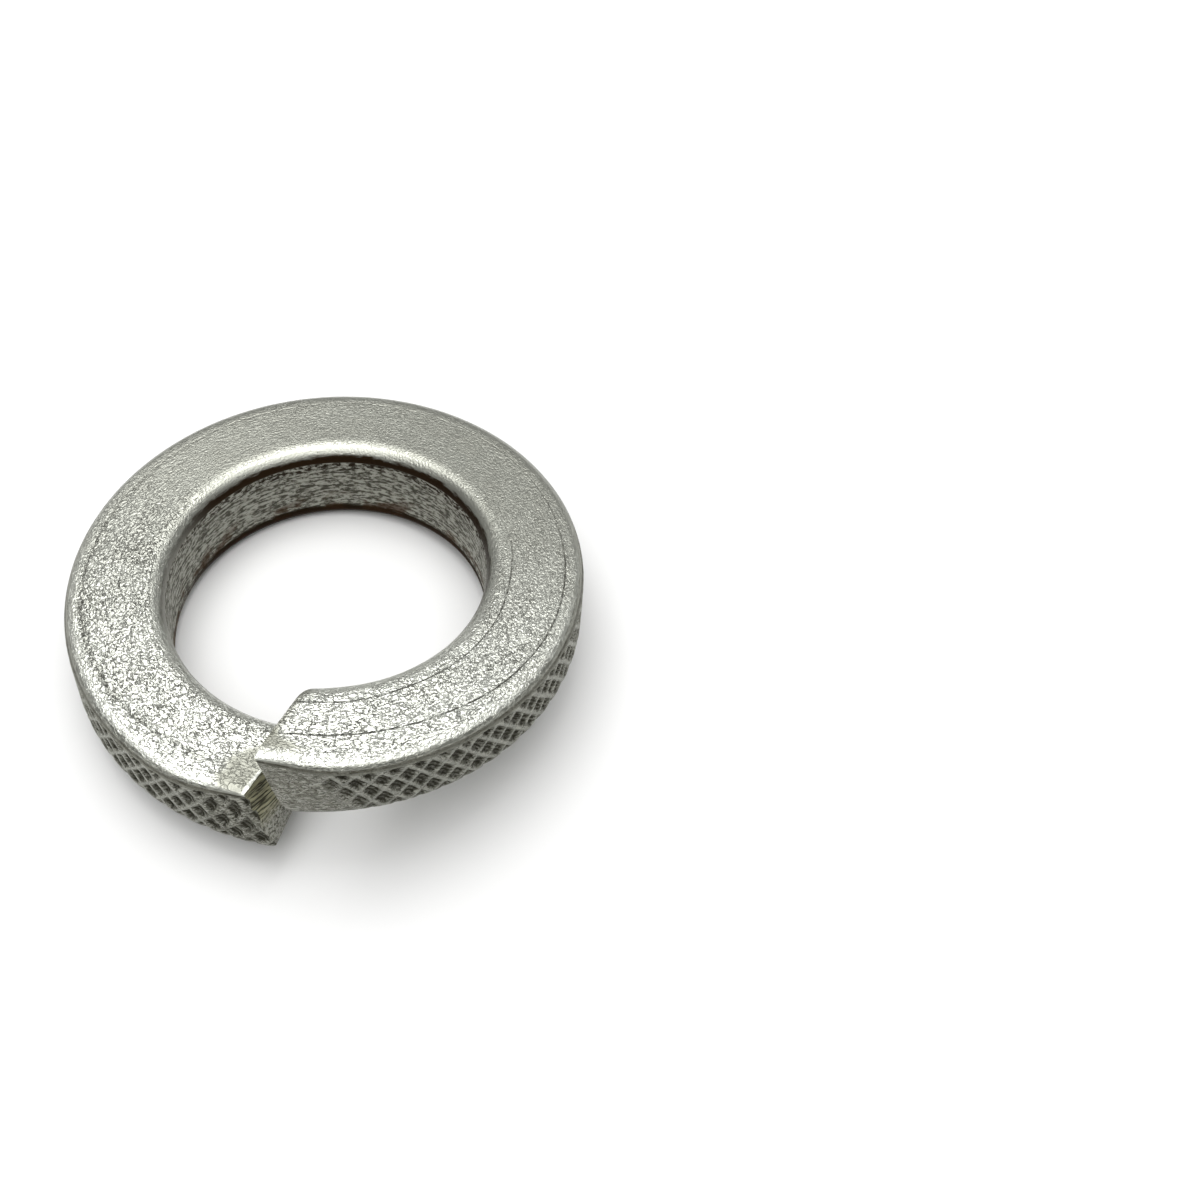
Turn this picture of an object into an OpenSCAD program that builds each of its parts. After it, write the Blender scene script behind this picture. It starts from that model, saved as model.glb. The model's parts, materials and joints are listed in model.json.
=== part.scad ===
// Heavy spring lock washer for a 24 mm bolt.
// One bar of nearly square section is coiled through one left-hand turn, so its two cut ends
// stand apart in height. The section is a little thicker at the bore than at the rim, and the
// rim carries a diamond knurl. The washer lies on a flat surface as it comes to rest.

/* [Section] */
// Diameter of the bore
bore_d = 24.5; // [23:0.1:27]
// Width of the section, from the bore to the rim
section_w = 7.5; // [6.5:0.1:9]
// Thickness of the section at the bore
bore_t = 7.5; // [6.8:0.05:9]
// Thickness of the section at the rim
rim_t = 6.5; // [6:0.05:6.8]

/* [Section corners] */
// Radius of the upper corner at the bore
top_bore_r = 1.5; // [0.5:0.1:2]
// Radius of the upper corner at the rim
top_rim_r = 0.9; // [0.4:0.1:1.5]
// Radius of the lower corner at the bore
foot_bore_r = 0.8; // [0.4:0.1:1.5]
// Radius of the lower corner at the rim
foot_rim_r = 2.1; // [1:0.1:2.4]

/* [Coil and cut] */
// Height that the bar gains over one full turn
rise = 5.3; // [3:0.1:7]
// Distance between the two cut ends, measured across the split at the rim
split_gap = 1.35; // [0.8:0.05:4]
// Lean of the cut faces from the washer's axis, in degrees
cut_lean = 26; // [5:1:30]
// Skew of the cut faces from the radius, seen from above, in degrees
cut_skew = 24; // [0:1:28]
// Depth by which the shears rolled down the upper end's top edge
roll_depth = 0.5; // [0:0.1:1]
// Length of the rolled edge
roll_len = 2.2; // [1:0.1:4]

/* [Knurl] */
// Pits in one row around a full turn
knurl_pits = 68; // [40:2:80]
// Height of one row of pits
knurl_row_h = 1.1; // [0.8:0.05:1.5]
// Depth of a pit
knurl_depth = 0.3; // [0.1:0.05:0.5]
// Length of rim left plain behind the upper end
plain_len = 3; // [0:0.5:10]
// Length over which the knurl fades in after the plain stretch
fade_len = 2.5; // [1:0.5:6]

/* [Place] */
// Direction from the washer's middle to the split, in degrees about the vertical
split_dir = -93; // [-180:0.5:180]

/* [Hidden] */
$fn = 96;

// Flat segments in a corner arc
corner_segments = 4;
// Metal left inside the bore's radius for the boring cut
bore_stock = 0.15;
// Share of a corner arc at the bore that stays outside the bore's radius
bore_corner_share = 0.85;
// Share of a whole pit's depth at the upper edge of the rim
edge_pit_share = 0.6;
// Share of the lower rim corner that the knurl wraps onto
knurl_wrap = 0.75;
// Degrees between stations that a cut face holds back
cut_station_step = 0.25;
// Length by which the boring cut runs past the washer, above and below
bore_overrun = 5;

bore_r = bore_d / 2;
rim_r = bore_r + section_w;
mid_r = bore_r + section_w / 2;
// Slope of the upper and lower faces towards the rim
face_slope = atan((bore_t - rim_t) / 2 / section_w);
lean = tan(cut_lean);
skew = tan(cut_skew);

function arc(cx, cz, r, from, to, segments) = [
    for (k = [0:segments])
        let (a = from + (to - from) * k / segments)
        [cx + r * cos(a), cz + r * sin(a)]
];
function clamp(x, low, high) = min(max(x, low), high);

// Height of a corner circle's middle above the middle of the section
function rim_corner_z(r) = rim_t / 2 + r * tan(face_slope) - r / cos(face_slope);
function bore_corner_z(r) = bore_t / 2 - r * tan(face_slope) - r / cos(face_slope);

// The rim, measured down its outline from the upper edge of the wall
wall_top = rim_corner_z(top_rim_r);
wall_foot = -rim_corner_z(foot_rim_r);
wall_h = wall_top - wall_foot;
foot_arc_angle = 90 - face_slope;
foot_arc_len = foot_rim_r * foot_arc_angle * PI / 180;
knurl_rows = floor((wall_h + knurl_wrap * foot_arc_len) / knurl_row_h);

function foot_angle(along) = max(0, along - wall_h) / foot_rim_r * 180 / PI;
function rim_point(along) =
    let (a = foot_angle(along))
    [rim_r - foot_rim_r * (1 - cos(a)), wall_top - min(along, wall_h) - foot_rim_r * sin(a)];
// Direction out of the rim, scaled by the share of a whole pit's depth, which halves over the corner
function rim_bite(along) =
    let (a = foot_angle(along), share = along == 0 ? edge_pit_share : 1 - a / foot_arc_angle / 2)
    share * [cos(a), -sin(a)];

knurl_points = [for (row = [0:knurl_rows]) rim_point(row * knurl_row_h)];
knurl_bites = [for (row = [0:knurl_rows]) rim_bite(row * knurl_row_h)];

// The section's outline, from the upper rim corner down the rim, along the foot and up the bore
top_rim_arc = arc(rim_r - top_rim_r, wall_top, top_rim_r, 90 - face_slope, 0, corner_segments);
foot_rim_arc = arc(
    rim_r - foot_rim_r, wall_foot, foot_rim_r,
    -foot_angle(knurl_rows * knurl_row_h), -foot_arc_angle, corner_segments / 2
);
foot_bore_arc = arc(
    bore_r + foot_bore_r, -bore_corner_z(foot_bore_r), foot_bore_r,
    face_slope - 90, face_slope - 90 - bore_corner_share * (90 + face_slope), corner_segments
);
top_bore_arc = arc(
    bore_r + top_bore_r, bore_corner_z(top_bore_r), top_bore_r,
    90 - face_slope + bore_corner_share * (90 + face_slope), 90 - face_slope, corner_segments
);
bore_line = [for (z = [-bore_corner_z(foot_bore_r), bore_corner_z(top_bore_r)]) [bore_r - bore_stock, z]];

first_row = corner_segments;
last_row = first_row + knurl_rows;
outline = concat(
    [for (k = [0:corner_segments - 1]) top_rim_arc[k]],
    knurl_points,
    [for (k = [1:len(foot_rim_arc) - 1]) foot_rim_arc[k]],
    foot_bore_arc,
    bore_line,
    top_bore_arc
);
outline_len = len(outline);

// Turn at which a cut face crosses the radius r at the height z. Turns are measured at the
// coil's axis from the middle of the split, and z from the middle of the section.
function cut_turn(r, z, offset) =
    let (
        guess = asin((offset + skew * (r - rim_r) + lean * z) / r),
        pulled = offset + skew * (r * cos(guess) - rim_r) + lean * (z + rise * guess / 360)
    )
    asin(pulled / r);

// The coil's stations stand half a pit apart, and a cut face holds back those that pass it
half_pitch = 180 / knurl_pits;
low_reach = cut_turn(bore_r - bore_stock, -bore_t / 2, split_gap / 2);
high_reach = cut_turn(rim_r, rim_t / 2, -split_gap / 2);
first_station = floor(low_reach / half_pitch) - 1;
last_station = 2 * knurl_pits + max(0, ceil(high_reach / half_pitch)) + 1;

function station_turn(i, low, high) = clamp(
    i * half_pitch,
    low + (i - first_station) * cut_station_step,
    high - (last_station - i) * cut_station_step
);

// Height of a ridge wave: 1 at even numbers, where the pits are, and 0 at odd ones
function wave(x) = 1 - abs((x + 4 * knurl_pits + 1) % 2 - 1);
function pit(column, row) = min(wave(column + row), wave(column - row));

function coil_point(i, k) =
    let (
        p = outline[k],
        low = cut_turn(p.x, p.y, split_gap / 2),
        high = 360 + cut_turn(p.x, p.y, -split_gap / 2),
        turn = station_turn(i, low, high),
        to_end = (high - turn) * PI / 180 * p.x,
        knurled = k >= first_row && k <= last_row,
        fade = clamp((to_end - plain_len) / fade_len, 0, 1),
        bite = knurled
            ? knurl_depth * fade * pit(turn / half_pitch, k - first_row) * knurl_bites[k - first_row]
            : [0, 0],
        rolled = roll_depth * pow(max(0, 1 - to_end / roll_len), 2) * pow(max(0, p.y / (bore_t / 2)), 2),
        r = p.x - bite.x,
        z = p.y - bite.y - rolled + rise * turn / 360
    )
    [r * cos(turn), -r * sin(turn), z];

function cap_point(turn) = [mid_r * cos(turn), -mid_r * sin(turn), rise * turn / 360];

stations = last_station - first_station;
low_cap = (stations + 1) * outline_len;
high_cap = low_cap + 1;
coil_points = concat(
    [for (i = [first_station:last_station], k = [0:outline_len - 1]) coil_point(i, k)],
    [cap_point(cut_turn(mid_r, 0, split_gap / 2)), cap_point(360 + cut_turn(mid_r, 0, -split_gap / 2))]
);

function vertex(i, k) = i * outline_len + k % outline_len;
// The diagonal of a square of the knurl joins its two ridge crossings, so the ridges stay sharp
function pit_first(i, k) = (i + first_station + k - first_row + 4 * knurl_pits) % 2 == 0;
function square(i, k) =
    pit_first(i, k)
        ? [
            [vertex(i, k), vertex(i, k + 1), vertex(i + 1, k)],
            [vertex(i + 1, k), vertex(i, k + 1), vertex(i + 1, k + 1)]
        ]
        : [
            [vertex(i, k), vertex(i, k + 1), vertex(i + 1, k + 1)],
            [vertex(i, k), vertex(i + 1, k + 1), vertex(i + 1, k)]
        ];
coil_faces = concat(
    [for (i = [0:stations - 1], k = [0:outline_len - 1]) each square(i, k)],
    [for (k = [0:outline_len - 1]) [low_cap, vertex(0, k + 1), vertex(0, k)]],
    [for (k = [0:outline_len - 1]) [high_cap, vertex(stations, k), vertex(stations, k + 1)]]
);

// At rest the washer touches the surface at the lower end's inner corner and, half a turn on,
// at the rim. The two slopes are those of the surface, as seen from the coil.
near_r = bore_r + foot_bore_r;
far_r = rim_r - foot_rim_r;
near_foot = -bore_corner_z(foot_bore_r) - foot_bore_r;
far_foot = -rim_corner_z(foot_rim_r) - foot_rim_r;
near_turn = cut_turn(near_r, near_foot, split_gap / 2);
slope_along = (near_foot - far_foot - rise / 2) / (near_r + far_r);
slope_across = -rise / (2 * PI) / far_r;
slope_x = slope_along * cos(near_turn) - slope_across * sin(near_turn);
slope_y = -slope_along * sin(near_turn) - slope_across * cos(near_turn);
upright = [-slope_x, -slope_y, 1] / norm([-slope_x, -slope_y, 1]);
rest_tilt = acos(upright.z);
// The coil is turned about its own middle and then lowered onto the surface
coil_middle = [0, 0, rise / 2];
rest_height = -min([for (p = coil_points) (p - coil_middle) * upright]);

module coil() {
    polyhedron(points = coil_points, faces = coil_faces, convexity = 6);
}

module bore() {
    translate([0, 0, -bore_t / 2 - bore_overrun])
        cylinder(r = bore_r, h = bore_t + rise + 2 * bore_overrun);
}

module lock_washer() {
    color([0.55, 0.55, 0.5])
        translate([0, 0, rest_height])
        rotate([0, 0, split_dir])
        rotate(a = rest_tilt, v = [-slope_y, slope_x, 0])
        translate(-coil_middle)
        difference() {
            coil();
            bore();
        }
}

lock_washer();
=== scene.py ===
"""Heavy spring lock washer: a coiled, cut and knurled steel bar on a white studio floor."""

import json
import math
from types import SimpleNamespace

import bpy
import numpy as np
from bpy.props import FloatProperty, FloatVectorProperty, IntProperty, PointerProperty
from mathutils import Matrix, Vector, noise


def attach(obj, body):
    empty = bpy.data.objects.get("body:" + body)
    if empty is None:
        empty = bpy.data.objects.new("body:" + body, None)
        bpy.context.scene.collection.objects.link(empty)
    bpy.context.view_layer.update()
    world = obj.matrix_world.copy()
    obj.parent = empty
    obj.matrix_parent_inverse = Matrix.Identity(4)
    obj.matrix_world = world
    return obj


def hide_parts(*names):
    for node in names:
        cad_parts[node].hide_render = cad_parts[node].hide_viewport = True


bl_info = {
    "name": "Spring Lock Washer",
    "version": (1, 0, 0),
    "blender": (4, 5, 0),
    "location": "3D View > Sidebar > Lock Washer",
    "description": "Coils, cuts, knurls and finishes a heavy spring lock washer",
    "category": "Object",
}

MM = 0.001
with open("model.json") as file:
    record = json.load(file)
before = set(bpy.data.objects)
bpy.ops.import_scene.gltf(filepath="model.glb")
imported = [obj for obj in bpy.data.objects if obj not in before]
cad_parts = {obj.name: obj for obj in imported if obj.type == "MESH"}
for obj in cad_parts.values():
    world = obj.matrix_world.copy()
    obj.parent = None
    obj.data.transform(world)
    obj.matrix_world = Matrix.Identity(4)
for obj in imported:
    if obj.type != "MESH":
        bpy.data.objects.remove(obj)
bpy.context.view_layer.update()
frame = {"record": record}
# The bore's mount is a point on the coil's axis, halfway up the coil, and the axis as it rests
BORE = frame["record"]["mounts"][0]
COIL_MIDDLE = Vector(BORE["pos_m"])
COIL_AXIS = Vector(BORE["axis"]).normalized()
BORE_RADIUS = BORE["dims"]["r_mm"] * MM


def metres(name, description, default):
    return FloatProperty(name=name, description=description, default=default, unit="LENGTH", precision=5)


def radians(name, description, default):
    return FloatProperty(name=name, description=description, default=default, subtype="ANGLE")


def tone(name, description, default):
    return FloatVectorProperty(name=name, description=description, default=default, subtype="COLOR", size=3)


class WasherSection(bpy.types.PropertyGroup):
    """Sizes of the bar's section"""

    bore_radius: metres("Bore radius", "Radius of the bore", BORE_RADIUS)
    width: metres("Width", "Bar width from bore to rim", 7.5 * MM)
    bore_thickness: metres("Thickness at bore", "Bar thickness at the bore", 7.5 * MM)
    rim_thickness: metres("Thickness at rim", "Bar thickness at the rim", 6.5 * MM)
    top_bore_radius: metres("Upper bore corner", "Corner radius over the bore", 1.5 * MM)
    top_rim_radius: metres("Upper rim corner", "Corner radius over the rim", 0.9 * MM)
    foot_bore_radius: metres("Lower bore corner", "Corner radius under the bore", 0.8 * MM)
    foot_rim_radius: metres("Lower rim corner", "Corner radius under the rim", 2.1 * MM)
    crown: metres("Crown", "How far the upper face falls away before its corner at the rim", 0.1 * MM)


class WasherCoil(bpy.types.PropertyGroup):
    """How the bar is coiled and laid down"""

    rise: metres("Rise", "Height gained in one full turn", 5.3 * MM)
    split_direction: radians("Direction of the split", "From the middle to the split", math.radians(-93))


class WasherCuts(bpy.types.PropertyGroup):
    """How the two ends are sheared and broken"""

    split_gap: metres("Split", "Distance across the split at the rim", 1.35 * MM)
    lean: radians("Lean of the cuts", "Angle from the axis", math.radians(26))
    low_skew: radians("Lower end's skew", "Skew of the sheared face, in plan", math.radians(24))
    high_offset: metres("Upper end's offset", "Place of the upper end's sheared face at the rim", 0.45 * MM)
    high_skew: radians("Upper end's skew", "Skew of the sheared face, in plan", math.radians(21.2))
    break_offset: metres("Break", "Place of the lower end's broken face at the rim", 0.15 * MM)
    break_skew: radians("Skew of the break", "Skew of the lower end's broken face", math.radians(9.4))
    foot_chip: metres("Chipped foot", "Depth below the bar's middle where the break's foot is off", 2.5 * MM)
    end_corner: metres("Drawn corner", "Radius of the rim's upper corner at the cut ends", 0.35 * MM)
    corner_pull: metres("Corner pull", "How far the shears pulled that corner in", 0.75 * MM)
    drawn_length: metres("Drawn length", "Length over which that corner grows to its full radius", 7.0 * MM)
    roll_depth: metres("Rolled edge depth", "Depth that the shears rolled the upper end down", 0.2 * MM)
    roll_length: metres("Rolled edge length", "Length of the rolled edge", 2.4 * MM)
    burr_height: metres("Burr", "Height of the burr on the lower end's top edge", 0.1 * MM)


class WasherKnurl(bpy.types.PropertyGroup):
    """The diamond knurl on the rim"""

    pits: IntProperty(name="Pits", description="Pits in one row around a full turn", default=68)
    row_height: metres("Row height", "Height of one row of pits", 1.1 * MM)
    depth: metres("Depth", "Depth of a pit", 0.3 * MM)
    plain_length: metres("Plain length", "Rim left plain behind the upper end", 3.0 * MM)
    fade_length: metres("Fade length", "Length over which the knurl fades in", 2.5 * MM)


class WasherFinish(bpy.types.PropertyGroup):
    """Colours of the steel"""

    steel: tone("Steel", "Bare worn steel", (0.73, 0.745, 0.68))
    rim: tone("Rim steel", "Skin of the rim between its dull patches", (0.43, 0.43, 0.375))
    # This colour also paints shade on the smoothed and rolled ends, and makes the upper face darker on the
    # far side
    scale: tone("Dull skin", "Dull skin on the rim, the far side and the rolled edges", (0.18, 0.18, 0.145))
    # This colour also paints the shade in the knurl's pits and a dark reflection on the rim's rounded edge
    grime_and_shade: tone("Grime", "Oil and scale in the hollows", (0.055, 0.052, 0.036))
    # The line at the bore's foot is a painted shadow
    bore_lines_and_shadow: tone("Stain", "Dark lines at the bore's upper edge and foot", (0.022, 0.014, 0.007))
    rust: tone("Rust", "Light rust at the foot of the bore", (0.075, 0.038, 0.018))
    sheared: tone("Sheared steel", "Olive-brown steel of the cut ends", (0.36, 0.35, 0.23))


class WasherStudio(bpy.types.PropertyGroup):
    """Camera and light"""

    camera_place: FloatVectorProperty(
        name="Camera", description="Place of the camera", default=(21.13 * MM, -68.74 * MM, 114.04 * MM),
        subtype="TRANSLATION", size=3, precision=5
    )
    camera_tilt: radians("Camera tilt", "Angle below the horizon", 0.9957)
    camera_roll: radians("Camera roll", "Turn about the view", 0.0729)
    lens: FloatProperty(name="Lens", description="Focal length in mm on a 36 mm frame", default=49.5)
    top_light: FloatProperty(name="Top light", description="Power of the softbox in watts", default=0.35)
    room_light: FloatProperty(name="Room light", description="Strength of the room's light", default=1.0)


# Turns are in degrees
FULL_TURN = 360.0
HALF_TURN = FULL_TURN / 2
# Where the last eighth of the turn starts
LAST_EIGHTH = 315.0
# How far each half runs on past its cut before it is cut
LOW_OVERRUN = 32.0
HIGH_OVERRUN = 8.0
# Stations between two ridges of the knurl, and edges along each stretch of the section
STATIONS_PER_RIDGE = 6
CORNER_SEGMENTS = {"top_bore": 9, "top_rim": 7, "foot_bore": 5, "foot_rim": 16}
STRETCH_EDGES = {"top": 18, "rim": 20, "foot": 8, "bore": 12}
# An edge of the section that is longer than this is a straight stretch
STRAIGHT_EDGE = 0.8 * MM
# How near points count as in one place, merge, and lie in a cut
CLOSE = 0.01 * MM
MERGED = 0.005 * MM
IN_CUT = 0.0001 * MM
# The distance to an end that stands for anywhere beyond its reach
OUT_OF_REACH = 20 * MM

# The plane that takes the corner at the bore off the upper end
CORNER_BREAK_OFFSET = 0.66 * MM
CORNER_BREAK_SKEW = math.radians(-17)
CORNER_BREAK_LEAN = math.radians(18)
# How far the shoulder between the lower end's sheared and broken faces is cut back
SHOULDER_CUT = 0.16 * MM

# Where the crown starts, from the middle of the bar, and how wide it is
CROWN_START = 1.9 * MM
CROWN_WIDTH = 1.9 * MM
# How far a point may lie off a corner or a wall and still belong to it
CORNER_SLACK = 0.02 * MM
WALL_SLACK = 0.001 * MM
# Angles round a corner are taken at least this far out of its middle
LEAST_OUT = 1e-9
# Height of the wall that stretches up as the corner above it sharpens
STRETCHED_WALL = 2.0 * MM
# How fast the drawn corner loses its radius towards the end
DRAWN_POWER = 1.5
# Share of the corner's pull that the rim has halfway up, and how fast it grows from there
PULL_AT_MIDDLE = 0.2
PULL_GAIN = 1.6
# Width of the burr, its middle height as a share of the whole, and the length of its ripples
BURR_WIDTH = 0.25 * MM
BURR_MEAN = 0.6
BURR_RIPPLE = 0.4 * MM

# Size of the patches over which the pits drift, and how far, in columns and rows of pits
DRIFT_PATCH = 2.2 * MM
COLUMN_DRIFT = 0.12
ROW_DRIFT = 0.10
# Width of a ridge and of a pit's wall, as shares of a pit
RIDGE_SHARE = 0.14
PIT_WALL_SHARE = 0.48
# Rows by which the knurl passes the wall's upper edge, and over which it fades there
TOP_PASS = 0.1
TOP_FADE = 0.4
# Shares of the lower corner's arc where the knurl ends, and over which it fades
FOOT_PASS = 0.8
FOOT_FADE = 0.35
# Share of the upper corner's radius up to which a pit may reach
TOP_LIMIT = 0.6
# The foot's corner counts with the rim a little past its radius
FOOT_MARGIN = 1.01
# Depths under this share aren't pressed
LEAST_PIT = 0.001
# Edges flatter than this look smooth
SMOOTH_ANGLE = math.radians(40)

# The paper's colour for the light that it throws back, and for the camera
FLOOR_LIT = (0.78, 0.78, 0.78)
FLOOR_SEEN = (0.84, 0.84, 0.835)
FLOOR_SIZE = 3.0
SOFTBOX_PLACE = (-0.05, 0.08, 0.36)
SOFTBOX_TURN = (-0.2, -0.14, 0)
SOFTBOX_SIZE = 0.2
CEILING_LIGHT = 2.05
NEAREST_SEEN = 0.005
FARTHEST_SEEN = 10


def settings():
    """The groups of sizes of the section, the coil, the cuts and the knurl."""
    scene = bpy.context.scene
    return scene.washer_section, scene.washer_coil, scene.washer_cuts, scene.washer_knurl


def deselect_all():
    for obj in bpy.context.selected_objects:
        obj.select_set(False)


def make_active(obj):
    deselect_all()
    obj.select_set(True)
    bpy.context.view_layer.objects.active = obj


def section_measures():
    """The slope of the upper and lower faces, and lengths that several steps share, in metres."""
    section = settings()[0]
    slope = math.atan((section.bore_thickness - section.rim_thickness) / 2 / section.width)

    def wall_end(r):
        """How far from the middle the rim's wall ends at a corner of this radius."""
        return section.rim_thickness / 2 + r * math.tan(slope) - r / math.cos(slope)

    return SimpleNamespace(
        slope=slope,
        rim=section.bore_radius + section.width,
        middle=section.bore_radius + section.width / 2,
        wall_top=wall_end(section.top_rim_radius),
        wall_foot=-wall_end(section.foot_rim_radius),
    )


def select_points(mesh, wanted):
    """Selects the vertices for which wanted(co) is true, and the edges and faces between them."""
    for vertex in mesh.vertices:
        vertex.select = wanted(vertex.co)
    for item in (*mesh.edges, *mesh.polygons):
        item.select = all(mesh.vertices[i].select for i in item.vertices)


def select_edges(mesh, wanted):
    """Selects only the edges for which wanted(middle, direction) is true."""
    for item in (*mesh.vertices, *mesh.edges, *mesh.polygons):
        item.select = False
    for edge in mesh.edges:
        a, b = (mesh.vertices[i].co for i in edge.vertices)
        edge.select = wanted((a + b) / 2, b - a)


def in_edit_mode(operator, **options):
    bpy.ops.object.mode_set(mode="EDIT")
    operator(**options)
    bpy.ops.object.mode_set(mode="OBJECT")


def slope_faces(mesh):
    """Thins the plate at the rim, above and below, to a keystone."""
    section = settings()[0]
    middle = section_measures().middle
    for side in (1, -1):
        select_points(mesh, lambda co: co.x > middle and co.z * side > 0)
        step = side * (section.rim_thickness - section.bore_thickness) / 2
        in_edit_mode(bpy.ops.transform.translate, value=(0, 0, step))


def round_corners(mesh):
    section = settings()[0]
    m = section_measures()
    corners = (
        ("top_bore", section.top_bore_radius, -1, 1),
        ("top_rim", section.top_rim_radius, 1, 1),
        ("foot_bore", section.foot_bore_radius, -1, -1),
        ("foot_rim", section.foot_rim_radius, 1, -1),
    )
    for corner, radius, side, up in corners:
        x = m.middle + side * section.width / 2
        thickness = section.rim_thickness if side > 0 else section.bore_thickness
        place = Vector((x, 0, up * thickness / 2))
        tangent = radius * math.tan((math.pi / 2 - side * m.slope) / 2)
        segments = CORNER_SEGMENTS[corner]
        select_points(mesh, lambda co: (co - place).length < CLOSE)
        in_edit_mode(bpy.ops.mesh.bevel, offset=tangent, affect="VERTICES", segments=segments, profile=0.5)


def divide_stretches(mesh):
    """Divides the straight stretches, so that the coil has points to work between the corners."""
    middle = section_measures().middle
    stretches = {
        "top": lambda at, way: abs(way.x) > STRAIGHT_EDGE and at.z > 0,
        "foot": lambda at, way: abs(way.x) > STRAIGHT_EDGE and at.z < 0,
        "rim": lambda at, way: abs(way.z) > STRAIGHT_EDGE and at.x > middle,
        "bore": lambda at, way: abs(way.z) > STRAIGHT_EDGE and at.x < middle,
    }
    for stretch, belongs in stretches.items():
        select_edges(mesh, belongs)
        in_edit_mode(bpy.ops.mesh.subdivide, number_cuts=STRETCH_EDGES[stretch] - 1)


def draw_section(name):
    """A keystone plate with four rounded corners, upright in the XZ plane, left as an outline."""
    section = settings()[0]
    bpy.ops.mesh.primitive_plane_add(size=1, rotation=(math.pi / 2, 0, 0))
    plate = bpy.context.object
    plate.name = name
    plate.scale = (section.width, section.bore_thickness, 1)
    plate.location = (section_measures().middle, 0, 0)
    bpy.ops.object.transform_apply(location=True, rotation=True, scale=True)
    bpy.context.tool_settings.mesh_select_mode = (True, False, False)
    slope_faces(plate.data)
    round_corners(plate.data)
    bpy.context.tool_settings.mesh_select_mode = (False, True, False)
    divide_stretches(plate.data)
    bpy.ops.object.mode_set(mode="EDIT")
    bpy.ops.mesh.select_all(action="SELECT")
    bpy.ops.mesh.delete(type="ONLY_FACE")
    bpy.ops.object.mode_set(mode="OBJECT")
    return plate


def plane_through(end, offset, skew, lean):
    """A point on a cut face and its normal, which points along the bar towards the upper end."""
    height = 0 if end == "low" else settings()[1].rise
    return Vector((section_measures().rim, offset, height)), Vector((-math.tan(skew), -1, -math.tan(lean)))


def cut_planes(end):
    """The sheared face of an end, then the planes that take off what broke away from it."""
    cuts = settings()[2]
    if end == "high":
        sheared = plane_through(end, cuts.high_offset, cuts.high_skew, cuts.lean)
        return sheared, plane_through(end, CORNER_BREAK_OFFSET, CORNER_BREAK_SKEW, CORNER_BREAK_LEAN)
    sheared = plane_through(end, -cuts.split_gap / 2, cuts.low_skew, cuts.lean)
    broken = plane_through(end, -cuts.break_offset, cuts.break_skew, 0)
    shoulder = [(a + b) / 2 for a, b in zip(sheared, broken)]
    shoulder[0] -= Vector((0, SHOULDER_CUT, 0))
    chipped_foot = broken[0] - Vector((0, 0, cuts.foot_chip)), Vector((broken[1].x, -1, 1))
    return sheared, broken, shoulder, chipped_foot


def sweep_half(end):
    """Half a turn of the bar, swept past the place of its cut end."""
    _, coil, _, knurl = settings()
    half_pitch = HALF_TURN / knurl.pits
    low = -round(LOW_OVERRUN / half_pitch) * half_pitch
    high = FULL_TURN + round(HIGH_OVERRUN / half_pitch) * half_pitch
    start, stop = (low, HALF_TURN) if end == "low" else (HALF_TURN, high)
    half = draw_section(end + "_half")
    half.rotation_euler = (0, 0, -math.radians(start))
    half.location = (0, 0, coil.rise * start / FULL_TURN)
    bpy.ops.object.transform_apply(location=True, rotation=True, scale=True)
    sweep = half.modifiers.new("Coil", "SCREW")
    sweep.angle = -math.radians(stop - start)
    sweep.screw_offset = coil.rise * (stop - start) / FULL_TURN
    sweep.steps = sweep.render_steps = round((stop - start) / half_pitch * STATIONS_PER_RIDGE)
    bpy.ops.object.modifier_apply(modifier=sweep.name)
    return half


def cut_half(half, end):
    """Cuts the swept bar to length and marks the faces that the cuts leave."""
    make_active(half)
    mesh = half.data
    mesh.attributes.new("sheared", "FLOAT", "FACE")
    for point, normal in cut_planes(end):
        # The split is on the side of +X, and the planes would also cut the far side
        select_points(mesh, lambda co: co.x > 0)
        in_edit_mode(
            bpy.ops.mesh.bisect, plane_co=point, plane_no=normal, use_fill=True, threshold=IN_CUT,
            clear_inner=end == "low", clear_outer=end == "high"
        )
        for face in mesh.polygons:
            if face.select:
                mesh.attributes["sheared"].data[face.index].value = 1.0


def ease(share):
    share = np.clip(share, 0, 1)
    return share * share * (3 - 2 * share)


def corner_angle(up, out):
    """Angle round a corner of the rim, 0 at the wall; up and out are from the corner's middle."""
    return np.arctan2(np.clip(up, 0, None), np.clip(out, LEAST_OUT, None))


def numbers(items, name, width):
    """A value of every item, in rows of this width, or as single numbers."""
    flat = np.empty(len(items) * width)
    items.foreach_get(name, flat)
    return flat.reshape(-1, width) if width > 1 else flat


def points_of(mesh):
    return numbers(mesh.vertices, "co", 3)


def write_points(mesh, points):
    mesh.vertices.foreach_set("co", points.ravel())
    mesh.update()


def write_attribute(mesh, name, kind, values):
    layer = mesh.attributes.new(name, kind, "POINT")
    layer.data.foreach_set("vector" if kind == "FLOAT_VECTOR" else "value", values.ravel())


def read_attribute(mesh, name, width):
    return numbers(mesh.attributes[name].data, "vector" if width == 3 else "value", width)


def straighten(mesh, end):
    """Each point's turn in degrees, radius, and height above the middle of the section there."""
    co = points_of(mesh)
    bearing = -np.degrees(np.arctan2(co[:, 1], co[:, 0]))
    lowest = -HALF_TURN / 2 if end == "low" else HALF_TURN / 2
    turn = (bearing - lowest) % FULL_TURN + lowest
    radius = np.hypot(co[:, 0], co[:, 1])
    return turn, radius, co[:, 2] - settings()[1].rise * turn / FULL_TURN


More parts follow.
